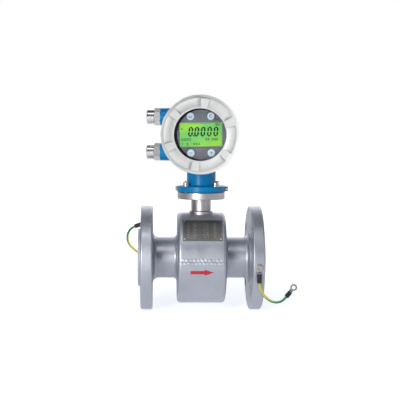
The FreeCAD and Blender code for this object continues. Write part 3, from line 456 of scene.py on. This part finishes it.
def make_finishes():
    """The finish of each material slot."""
    finishes = {
        "grey_paint": enamel("grey_enamel", (0.47, 0.49, 0.55), 0.42, 0.1, metallic=0.75, peel=0.5),
        # the covers get the strongest painted shade, darkest in their tightest corners, which draws dark lines at
        # the scallop walls
        "cover_paint": enamel("cover_enamel", (0.70, 0.71, 0.69), 0.38, 0.15,
                              peel=0.2, spread=0.02, corner=0.0, reach=0.95),
        "blue_paint": housing_paint(),
        "liner_polymer": moulded("liner_polymer", (0.50, 0.53, 0.60), 0.38),
        "stainless": turned_metal("stainless_steel", (0.53, 0.51, 0.51), 0.40, (25, 25, 1400),
                                  strength=0.05),
        "nickel": turned_metal("nickel_plate", (0.72, 0.71, 0.72), 0.22, (900, 8, 8),
                               spread=0.03, strength=0.01, patches=0.015),
        "zinc_screw": turned_metal("screw_steel", (0.46, 0.45, 0.44), 0.40, (500, 500, 500)),
        "black_plastic": moulded("black_plastic", (0.010, 0.010, 0.012), 0.45),
        "black_rubber": moulded("black_rubber", (0.015, 0.015, 0.015), 0.6),
        "display_film": moulded("display_film", (0.095, 0.095, 0.125), 0.42, grain=1500.0, strength=0.15),
        "display_lens": lit_display(),
        "key_cap": moulded("key_cap", (0.52, 0.62, 0.71), 0.3),
        "circuit_board": moulded("circuit_board", (0.01, 0.09, 0.03), 0.35),
        "potting_case": moulded("potting_case", (0.02, 0.02, 0.022), 0.5),
        "terminal_plastic": moulded("terminal_plastic", (0.02, 0.16, 0.05), 0.4),
        "copper_wire": turned_metal("copper_winding", (0.55, 0.22, 0.09), 0.35, (900, 60, 60)),
        "magnetic_steel": turned_metal("magnetic_steel", (0.20, 0.20, 0.21), 0.4, (400, 400, 400)),
        "electrode_alloy": turned_metal("electrode_alloy", (0.50, 0.50, 0.48), 0.25, (400, 400, 400)),
        "white_insulator": moulded("white_insulator", (0.75, 0.75, 0.72), 0.45),
        "gasket_fibre": moulded("gasket_fibre", (0.02, 0.02, 0.02), 0.7),
        "nameplate_metal": turned_metal("nameplate_metal", (0.175, 0.17, 0.165), 0.45, (20, 900, 900),
                                        strength=0.05),
        "rivet_metal": turned_metal("rivet_metal", (0.42, 0.42, 0.42), 0.4, (500, 500, 500)),
        "tinned_lug": turned_metal("tinned_lug", (0.60, 0.60, 0.62), 0.25, (300, 300, 300)),
        "heat_shrink": moulded("heat_shrink", (0.006, 0.009, 0.013), 0.4),
        "earth_lead": moulded("earth_lead", (0.72, 0.60, 0.09), 0.33),
        "cable_jacket": moulded("cable_jacket", (0.02, 0.02, 0.02), 0.5),
        "window_glass": clear_glass(),
    }
    return {slot: finish.material for slot, finish in finishes.items()}


MATERIALS = make_finishes()
LEAD_GREEN = moulded("lead_green", (0.0, 0.24, 0.11), 0.33).material
ARROW_RED = moulded("arrow_red", (0.58, 0.020, 0.045), 0.45).material
LCD_BLACK = moulded("lcd_black", (0.002, 0.010, 0.004), 0.5, specular=0.1).material
LCD_FAINT = moulded("lcd_faint", (0.02, 0.12, 0.03), 0.5, specular=0.1).material
SIGN_GREY = moulded("sign_grey", (0.04, 0.07, 0.12), 0.5, specular=0.2).material
# black of the display plate's ring: partly the window's dark inner wall, partly painted shadow
BORDER_AND_SHADOW_BLACK = moulded("border_and_shadow_black", (0.004, 0.004, 0.008), 0.5, specular=0.1).material
PRINT_SILVER = moulded("print_silver", (0.42, 0.40, 0.37), 0.45).material
BARE_METAL = turned_metal("bare_metal", (0.58, 0.59, 0.60), 0.28, (300, 300, 300)).material


def dress_nodes():
    """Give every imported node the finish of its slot."""
    for part in frame["record"]["subparts"]:
        node = NODES[part["node"]]
        node.data.materials.clear()
        node.data.materials.append(MATERIALS[part["material_slot"]])


dress_nodes()


# ---------------------------------------------------------------- places on the object
def on_head(right, depth, up):
    """A point given in the converter's own directions, from the middle of its axis."""
    return HEAD_CENTRE + HEAD_RIGHT * right + HEAD_BACK * depth + Z_AXIS * up


def on_display(right, up, depth):
    """A point on the display stack, which is shifted and rolled a little in the head."""
    shifted = right + DISPLAY_OFFSET
    across = shifted * math.cos(DISPLAY_ROLL) - up * math.sin(DISPLAY_ROLL)
    height = shifted * math.sin(DISPLAY_ROLL) + up * math.cos(DISPLAY_ROLL)
    return on_head(across, depth, height)


def on_round(along, around, radius, side=-1):
    """A point round the flow axis; around is the arc length above the middle of that side."""
    angle = around / radius
    return Vector((along, side * radius * math.cos(angle), radius * math.sin(angle)))


# ---------------------------------------------------------------- building pieces
class Shape:
    """Points and faces collected for one piece."""

    def __init__(self):
        self.points = []
        self.faces = []

    def prism(self, outline, to_point, low, high):
        """A flat outline made solid between two heights; to_point takes (u, v, height)."""
        count = len(outline)
        start = len(self.points)
        self.points.extend(to_point(u, v, low) for u, v in outline)
        self.points.extend(to_point(u, v, high) for u, v in outline)
        self.faces.append(tuple(range(start + count - 1, start - 1, -1)))
        self.faces.append(tuple(range(start + count, start + 2 * count)))
        for index in range(count):
            here = start + index
            after = start + (index + 1) % count
            self.faces.append((here, after, count + after, count + here))

    def rings(self, rings, around=True, caps=False):
        """A skin over rings of equally many points."""
        start = len(self.points)
        size = len(rings[0])
        for ring in rings:
            self.points.extend(ring)
        columns = size if around else size - 1
        for row in range(len(rings) - 1):
            below = start + row * size
            above = below + size
            for column in range(columns):
                after = (column + 1) % size
                self.faces.append((below + column, below + after, above + after, above + column))
        if caps:
            last = start + (len(rings) - 1) * size
            self.faces.append(tuple(range(start + size - 1, start - 1, -1)))
            self.faces.append(tuple(range(last, last + size)))

    def piece(self, name, material, body="meter", smooth=True):
        mesh = bpy.data.meshes.new(name)
        mesh.from_pydata([tuple(point) for point in self.points], [], self.faces)
        editor = bmesh.new()
        editor.from_mesh(mesh)
        bmesh.ops.recalc_face_normals(editor, faces=editor.faces)
        editor.to_mesh(mesh)
        editor.free()
        mesh.materials.append(material)
        if smooth:
            mesh.shade_smooth()
            mesh.set_sharp_from_angle(angle=math.radians(35))
        obj = bpy.data.objects.new(name, mesh)
        bpy.context.scene.collection.objects.link(obj)
        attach(obj, body)
        return obj


# ---------------------------------------------------------------- bonding leads
OUTLET_ROUTE = [
    (96.5, -95.35, -31.2), (96.7, -95.0, -37.0), (99.0, -94.8, -44.4), (103.5, -94.7, -51.6),
    (109.9, -94.4, -58.2), (117.0, -93.9, -63.0), (124.4, -93.2, -65.1), (132.1, -92.3, -64.4),
    (138.9, -91.2, -60.9), (143.4, -90.0, -56.0),
]
INLET_ROUTE = [
    (-120.1, 85.39, 47.09), (-125.0, 86.7, 44.7), (-130.3, 88.4, 39.8), (-133.9, 90.2, 32.6),
    (-135.0, 92.2, 24.2), (-133.5, 94.3, 15.5), (-128.9, 96.4, 8.0), (-122.4, 98.4, 1.6),
    (-114.9, 100.2, -4.6), (-107.6, 101.8, -9.8),
]


def follow_route(name, route):
    """Points along the smooth line that the route's control points pull."""
    curve = bpy.data.curves.new(name, "CURVE")
    curve.dimensions = "3D"
    spline = curve.splines.new("NURBS")
    spline.points.add(len(route) - 1)
    for point, place in zip(spline.points, route):
        point.co = (place[0] * MM, place[1] * MM, place[2] * MM, 1.0)
    spline.order_u = 3
    spline.use_endpoint_u = True
    spline.resolution_u = 12
    scratch = bpy.data.objects.new(name, curve)
    mesh = bpy.data.meshes.new_from_object(scratch)
    line = [vertex.co.copy() for vertex in mesh.vertices]
    bpy.data.objects.remove(scratch)
    bpy.data.meshes.remove(mesh)
    return line


def make_lead(name, route, stripe_start, stripe_turns):
    """An insulated earth lead, its green stripe winding a little along it."""
    line = follow_route(name, route)
    rings = []
    side = (line[1] - line[0]).cross(Y_AXIS).normalized()
    for index, point in enumerate(line):
        before = line[max(index - 1, 0)]
        after = line[min(index + 1, len(line) - 1)]
        along = (after - before).normalized()
        side = (side - along * side.dot(along)).normalized()
        up = along.cross(side)
        turn = stripe_start + stripe_turns * index / (len(line) - 1)
        angles = [2.0 * math.pi * (step / LEAD_SIDES + turn) for step in range(LEAD_SIDES)]
        rings.append([point + (side * math.cos(angle) + up * math.sin(angle)) * (LEAD_DIAMETER / 2.0)
                      for angle in angles])
    shape = Shape()
    shape.rings(rings, caps=True)
    lead = shape.piece(name, MATERIALS["earth_lead"])
    lead.data.materials.append(LEAD_GREEN)
    green_sides = int(LEAD_SIDES * GREEN_SHARE)
    for polygon in lead.data.polygons:
        if len(polygon.vertices) == 4 and polygon.index % LEAD_SIDES < green_sides:
            polygon.material_index = 1
    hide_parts(name)


make_lead("outlet_lead", OUTLET_ROUTE, 0.44, -0.37)
make_lead("inlet_lead", INLET_ROUTE, 0.0, 0.40)


# ---------------------------------------------------------------- display
SEGMENTS = {
    "top": (0.0, 1.0, 1.0, 1.0),
    "upper_right": (1.0, 1.0, 1.0, 0.5),
    "lower_right": (1.0, 0.5, 1.0, 0.0),
    "bottom": (0.0, 0.0, 1.0, 0.0),
    "lower_left": (0.0, 0.5, 0.0, 0.0),
    "upper_left": (0.0, 1.0, 0.0, 0.5),
    "middle": (0.0, 0.5, 1.0, 0.5),
}
UNLIT = {
    "0": ("middle",),
    "1": ("top", "bottom", "lower_left", "upper_left", "middle"),
    "8": (),
}


def bar_outline(start, end, width):
    """A straight bar with pointed ends."""
    along = (end - start).normalized()
    across = Vector((-along.y, along.x)) * (width / 2.0)
    tip = along * (width / 2.0)
    corners = (start, start + tip + across, end - tip + across,
               end, end - tip - across, start + tip - across)
    return [(corner.x, corner.y) for corner in corners]


def digit_outlines(digit, place, size, width, slant=0.0):
    """The lit segments of a digit; place is its lower left corner."""
    outlines = []
    gap = width * 0.08
    for name, (u0, v0, u1, v1) in SEGMENTS.items():
        if name in UNLIT[digit]:
            continue
        ends = []
        for u, v in ((u0, v0), (u1, v1)):
            height = width / 2.0 + v * (size[1] - width)
            across = width / 2.0 + u * (size[0] - width)
            ends.append(Vector((place[0] + across + height * slant, place[1] + height)))
        along = (ends[1] - ends[0]).normalized()
        outlines.append(bar_outline(ends[0] + along * gap, ends[1] - along * gap, width))
    return outlines


def printed_piece(name, outlines, to_point, material, body="meter", low=0.0, high=PRINT_THICKNESS):
    shape = Shape()
    for outline in outlines:
        shape.prism(outline, to_point, low, high)
    return shape.piece(name, material, body, smooth=False)


def scaled(outlines):
    """Outlines drawn in millimetres, in metres."""
    return [[(u * MM, v * MM) for u, v in outline] for outline in outlines]


def box_outline(left, low, right, high):
    return [(left, low), (right, low), (right, high), (left, high)]


def disc_outline(centre, radius, sides=24):
    angles = [2.0 * math.pi * step / sides for step in range(sides)]
    return [(centre[0] + radius * math.cos(angle), centre[1] + radius * math.sin(angle))
            for angle in angles]


def arc_outlines(radius, width, start, end, steps=16):
    """A curved bar as short pieces side by side, angles in degrees."""
    outlines = []
    for step in range(steps):
        first = math.radians(start + (end - start) * step / steps)
        last = math.radians(start + (end - start) * (step + 1) / steps)
        inner = radius - width / 2.0
        outer = radius + width / 2.0
        outlines.append([(inner * math.cos(first), inner * math.sin(first)),
                         (outer * math.cos(first), outer * math.sin(first)),
                         (outer * math.cos(last), outer * math.sin(last)),
                         (inner * math.cos(last), inner * math.sin(last))])
    return outlines


def digit_row(digits, left, low, pitch, size, width):
    """A row of small digits."""
    outlines = []
    for index, digit in enumerate(digits):
        if digit == " ":
            continue
        outlines.extend(digit_outlines(digit, (left + index * pitch, low), size, width))
    return outlines


def large_reading():
    """Five slanted digits and the point between the first two."""
    outlines = []
    for left in (-22.2, -11.9, -1.0, 10.0, 20.9):
        outlines.extend(digit_outlines("0", (left, -3.2), (7.8, 16.6), 2.6, slant=0.12))
    outlines.append(disc_outline((-12.1, -1.9), 1.3))
    return outlines


def small_marks():
    """Rows of small digits, an open arrow at the lower left and a solid one above it."""
    outlines = digit_row("0000", -33.4, -10.3, 4.4, (3.6, 4.5), 1.3)
    outlines += digit_row("00 000", 7.6, -10.3, 3.7, (3.1, 4.5), 1.2)
    outlines += digit_row("0  000", -24.8, -18.2, 3.9, (3.3, 4.5), 1.3)
    outlines += digit_row("100", 22.4, 14.9, 3.5, (2.9, 3.8), 1.1)
    arrow_tip = Vector((-30.4, -16.0))
    outlines.append(bar_outline(Vector((-32.8, -14.0)), arrow_tip, 0.7))
    outlines.append(bar_outline(arrow_tip, Vector((-32.8, -18.0)), 0.7))
    outlines.append([(-33.8, 8.6), (-30.9, 8.6), (-32.4, 11.4)])
    return outlines


def bar_ticks():
    """The faint row of ticks along the panel's upper edge."""
    pitch = 2.4
    count = 16
    return [box_outline(-21.0 + pitch * step, 18.6, -19.4 + pitch * step, 19.3) for step in range(count)]


def make_lcd_content():
    def to_point(u, v, height):
        return on_display(u, v, LCD_DEPTH - height)

    printed_piece("lcd_reading", scaled(large_reading()), to_point, LCD_BLACK)
    printed_piece("lcd_small_marks", scaled(small_marks()), to_point, LCD_BLACK)
    printed_piece("lcd_bar_ticks", scaled(bar_ticks()), to_point, LCD_FAINT)


def make_plate_border_and_shadow():
    """A black ring round the display plate, set off its centre so that it is wider at the left: partly the dark
    inner wall of the window, partly a painted shadow of the cover's lip.
    """
    plate_radius = 45.9 * MM
    inner_radius = 42.6 * MM
    # the shift widens the ring at the left, where it stands for the painted shadow of the lip
    shift = 1.9 * MM
    depth = PLATE_DEPTH - PRINT_THICKNESS
    sides = 120
    inner = []
    outer = []
    for step in range(sides + 1):
        angle = 2.0 * math.pi * step / sides
        right = math.cos(angle)
        up = math.sin(angle)
        outer.append(on_display(plate_radius * right, plate_radius * up, depth))
        inner.append(on_display(shift + inner_radius * right, inner_radius * up, depth))
    shape = Shape()
    shape.rings([inner, outer], around=False)
    shape.piece("display_border_and_shadow", BORDER_AND_SHADOW_BLACK)


def make_key_signs():
    """Plain signs on the keys: two open rings, a bar and a cross."""
    bar = box_outline(-2.4, -0.5, 2.4, 0.5)
    signs = {
        "key_upper_left": ((-17.5, 31.3), arc_outlines(2.1, 1.1, 150, 390)),
        "key_upper_right": ((17.5, 31.3), arc_outlines(2.1, 1.1, 50, 310)),
        "key_lower_left": ((-17.5, -31.3), [bar]),
        "key_lower_right": ((17.5, -31.3), [bar, box_outline(-0.5, 0.5, 0.5, 2.4),
                                            box_outline(-0.5, -2.4, 0.5, -0.5)]),
    }
    for body, ((right, up), outlines) in signs.items():
        def to_point(u, v, height, right=right * MM, up=up * MM):
            return on_display(right + u, up + v, KEY_DEPTH - height)

        printed_piece(body + "_sign", scaled(outlines), to_point, SIGN_GREY, body)


make_lcd_content()
make_plate_border_and_shadow()
make_key_signs()


# ---------------------------------------------------------------- arrow, seam and nameplate
def banded(left, right, low, high, steps):
    """Bands between two edges, narrow enough to follow the round housing; an edge can vary with height."""
    def edge_at(edge, height):
        return edge(height) if callable(edge) else edge

    outlines = []
    for step in range(steps):
        first = low + (high - low) * step / steps
        last = low + (high - low) * (step + 1) / steps
        outlines.append([(edge_at(left, first), first), (edge_at(right, first), first),
                         (edge_at(right, last), last), (edge_at(left, last), last)])
    return outlines


def make_flow_arrow():
    middle = -16.2
    tail = -20.4
    head_start = 3.6
    head_length = 16.4
    half_head = 5.5
    half_shaft = 3.0

    def tip(v):
        return head_start + head_length * max(0.0, 1.0 - abs(v - middle) / half_head)

    bands = banded(tail, tip, middle - half_shaft, middle + half_shaft, 12)
    bands += banded(head_start, tip, middle + half_shaft, middle + half_head, 5)
    bands += banded(head_start, tip, middle - half_head, middle - half_shaft, 5)

    def to_point(u, v, height):
        return on_round(u, v, HOUSING_RADIUS + height)

    printed_piece("flow_arrow", scaled(bands), to_point, ARROW_RED)


def seam_height(along, share):
    """The weld's height along its two rows; share runs across both, from -1 to 1."""
    off_row = abs(abs(share) - 0.5) * 2.0
    crown = math.sqrt(max(0.0, 1.0 - off_row ** 4))
    phase = along / SEAM_PITCH + 0.42 * off_row * off_row + (0.5 if share > 0 else 0.0)
    tooth = phase - math.floor(phase)
    ripple = min(tooth / 0.75, (1.0 - tooth) / 0.25)
    drift = 0.12 * math.sin(along / (5.3 * MM))
    drift += 0.07 * math.sin(along / (2.1 * MM) + share * 3.0)
    return max(0.0, crown * (0.40 + 0.38 * ripple + drift) * MM)


def make_seam(name, side):
    """The painted-over weld along the housing where its two half shells meet: two rows of ripples."""
    half = HOUSING_HALF_LENGTH - 4.0 * MM
    fade = 2.0 * MM
    columns = 48
    rows = 420
    rings = []
    for row in range(rows + 1):
        along = -half + 2.0 * half * row / rows
        faded = min(1.0, (half - abs(along)) / fade)
        half_width = SEAM_WIDTH / 2.0 * (1.0 + 0.05 * math.sin(along / (3.1 * MM)))
        ring = []
        for column in range(columns + 1):
            share = 2.0 * column / columns - 1.0
            radius = HOUSING_RADIUS - SEAM_SINK + faded * seam_height(along, share)
            ring.append(on_round(along, SEAM_MIDDLE + share * half_width, radius, side))
        rings.append(ring)
    shape = Shape()
    shape.rings(rings, around=False)
    seam = shape.piece(name, MATERIALS["grey_paint"])


def make_nameplate_marks():
    """Plain rules and digit groups on the nameplate, with no words."""
    bottom = math.radians(27.6) * NAMEPLATE_RADIUS / MM
    top = math.radians(59.8) * NAMEPLATE_RADIUS / MM
    left = -32.4
    right = 33.4
    inset = 1.6
    line = 0.3
    rows = 7
    row_pitch = (top - bottom - 12.0) / rows
    figure = (1.5, 2.2)
    stroke = 0.35

    def to_point(u, v, height):
        return on_round(u, v, NAMEPLATE_RADIUS + height)

    marks = [box_outline(left, bottom + inset, right, bottom + inset + line),
             box_outline(left, top - inset - line, right, top - inset)]
    for edge in (left, right - line):
        marks += banded(edge, edge + line, bottom + inset + line, top - inset - line, 12)
    for row in range(rows):
        base = bottom + 5.0 + row * row_pitch
        marks.append(box_outline(left + 13.0, base, -2.0, base + 0.2))
        marks.append(box_outline(15.0, base, right - 4.0, base + 0.2))
        groups = (("80" if row % 2 else "00", left + 6.5), ("000"[: 2 + row % 2], left + 17.0),
                  ("0 00" if row % 3 else "00 0", 2.5), ("00", 20.0))
        for digits, place in groups:
            marks += digit_row(digits, place, base + 0.8, 2.2, figure, stroke)
    printed_piece("nameplate_marks", scaled(marks), to_point, PRINT_SILVER)


make_flow_arrow()
make_seam("front_seam", -1)
make_seam("rear_seam", 1)
make_nameplate_marks()


# ---------------------------------------------------------------- threads
THREAD_SECTION = ((-0.5, -0.04), (-0.22, 0.0), (-0.07, 1.0), (0.07, 1.0), (0.22, 0.0), (0.5, -0.04))


def make_thread(name, centre, axis, side, radius, height, pitch, start, end, material):
    """A helical ridge on a round of that radius; start and end are distances along the axis."""
    per_turn = 96
    run_out = 12.0
    turns = (end - start) / pitch - 1.0
    steps = int(turns * per_turn)
    up = axis.cross(side)
    rings = []
    for step in range(steps + 1):
        turn = step / per_turn
        fade = min(1.0, step / run_out, (steps - step) / run_out)
        angle = 2.0 * math.pi * turn
        outward = side * math.cos(angle) + up * math.sin(angle)
        ring = []
        for along, rise in THREAD_SECTION:
            distance = start + (turn + 0.5 + along) * pitch
            faded = rise * fade if rise > 0 else rise
            ring.append(centre + axis * distance + outward * (radius + height * faded))
        rings.append(ring)
    shape = Shape()
    shape.rings(rings, around=False)
    shape.piece(name, material)


def make_threads():
    for name, way in (("front_thread", -1), ("rear_thread", 1)):
        make_thread(name, HEAD_CENTRE, HEAD_BACK * way, HEAD_RIGHT, SPIGOT_THREAD_RADIUS,
                    height=0.24 * MM, pitch=2.0 * MM, start=46.5 * MM, end=57.5 * MM, material=BARE_METAL)
    for name, way in (("upper_gland_thread", 1), ("lower_gland_thread", -1)):
        centre = on_head(-75.0 * MM, 18.0 * MM, way * 31.5 * MM)
        make_thread(name, centre, HEAD_RIGHT * -1, Z_AXIS, GLAND_THREAD_RADIUS, height=0.22 * MM,
                    pitch=1.5 * MM, start=10.8 * MM, end=19.6 * MM, material=MATERIALS["nickel"])


make_threads()
